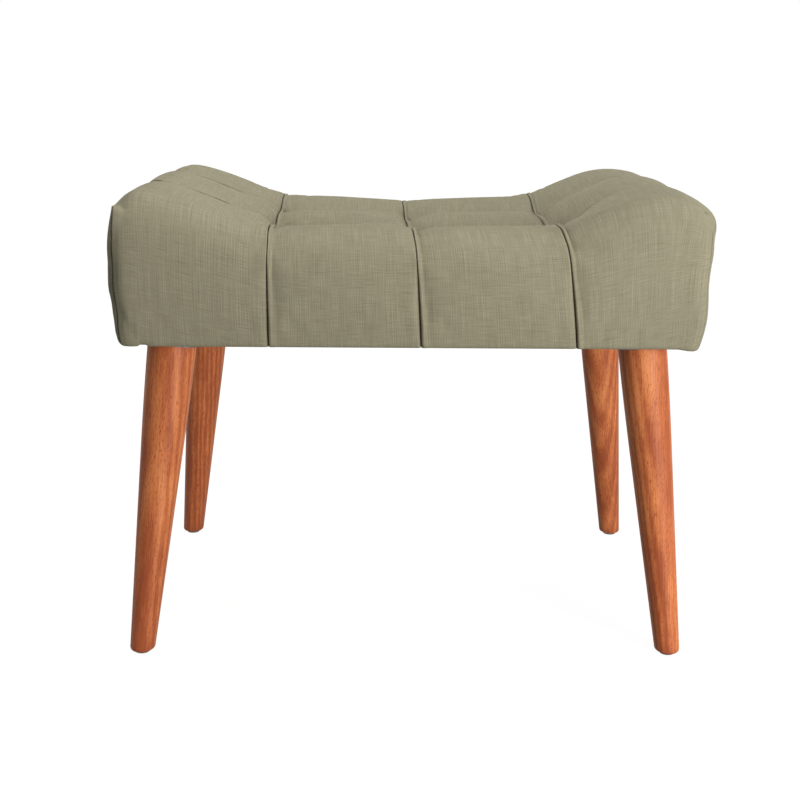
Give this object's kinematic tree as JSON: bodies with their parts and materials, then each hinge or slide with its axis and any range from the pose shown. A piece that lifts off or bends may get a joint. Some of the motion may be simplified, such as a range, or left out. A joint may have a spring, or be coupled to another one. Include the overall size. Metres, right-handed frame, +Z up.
{
  "type": "pouf",
  "caption": "Upholstered pouf with a tufted saddle-shaped seat in linen-look fabric on splayed, tapered round wooden legs.",
  "frame": {"origin": "middle of the footprint, on the floor", "axes": "+X along the seat's length to the right as seen from the front, +Y to the back, +Z up"},
  "size_m": [0.567, 0.405, 0.4575],
  "materials": {
    "linen": "matte woven",
    "wadding": "matte fibre",
    "foam": "matte foam",
    "stained_wood": "satin lacquer over stain",
    "pine": "sawn",
    "plywood": "raw",
    "zinc": "zinc plated",
    "nylon": "matte",
    "nonwoven": "matte",
    "twine": "waxed"
  },
  "bodies": {
    "root": {"corner_block_front_left": "pine", "corner_block_front_right": "pine", "corner_block_rear_left": "pine", "corner_block_rear_right": "pine", "cover_left_end": "linen", "cover_mid_left": "linen", "cover_mid_right": "linen", "cover_right_end": "linen", "deck": "plywood", "dust_cover": "nonwoven", "foam_centre": "foam", "foam_left": "foam", "foam_right": "foam", "glide_front_left": "nylon", "glide_front_right": "nylon", "glide_rear_left": "nylon", "glide_rear_right": "nylon", "hanger_bolt_front_left": "zinc", "hanger_bolt_front_right": "zinc", "hanger_bolt_rear_left": "zinc", "hanger_bolt_rear_right": "zinc", "leg_front_left": "stained_wood", "leg_front_right": "stained_wood", "leg_plate_front_left": "zinc", "leg_plate_front_right": "zinc", "leg_plate_rear_left": "zinc", "leg_plate_rear_right": "zinc", "leg_rear_left": "stained_wood", "leg_rear_right": "stained_wood", "plate_screw_front_left_1": "zinc", "plate_screw_front_left_2": "zinc", "plate_screw_front_left_3": "zinc", "plate_screw_front_left_4": "zinc", "plate_screw_front_right_1": "zinc", "plate_screw_front_right_2": "zinc", "plate_screw_front_right_3": "zinc", "plate_screw_front_right_4": "zinc", "plate_screw_rear_left_1": "zinc", "plate_screw_rear_left_2": "zinc", "plate_screw_rear_left_3": "zinc", "plate_screw_rear_left_4": "zinc", "plate_screw_rear_right_1": "zinc", "plate_screw_rear_right_2": "zinc", "plate_screw_rear_right_3": "zinc", "plate_screw_rear_right_4": "zinc", "rail_front": "pine", "rail_left": "pine", "rail_rear": "pine", "rail_right": "pine", "stretcher_left": "pine", "stretcher_right": "pine", "tuft_tie_front_centre": "twine", "tuft_tie_front_left": "twine", "tuft_tie_front_right": "twine", "tuft_tie_rear_centre": "twine", "tuft_tie_rear_left": "twine", "tuft_tie_rear_right": "twine", "wadding": "wadding"}
  },
  "joints": []
}
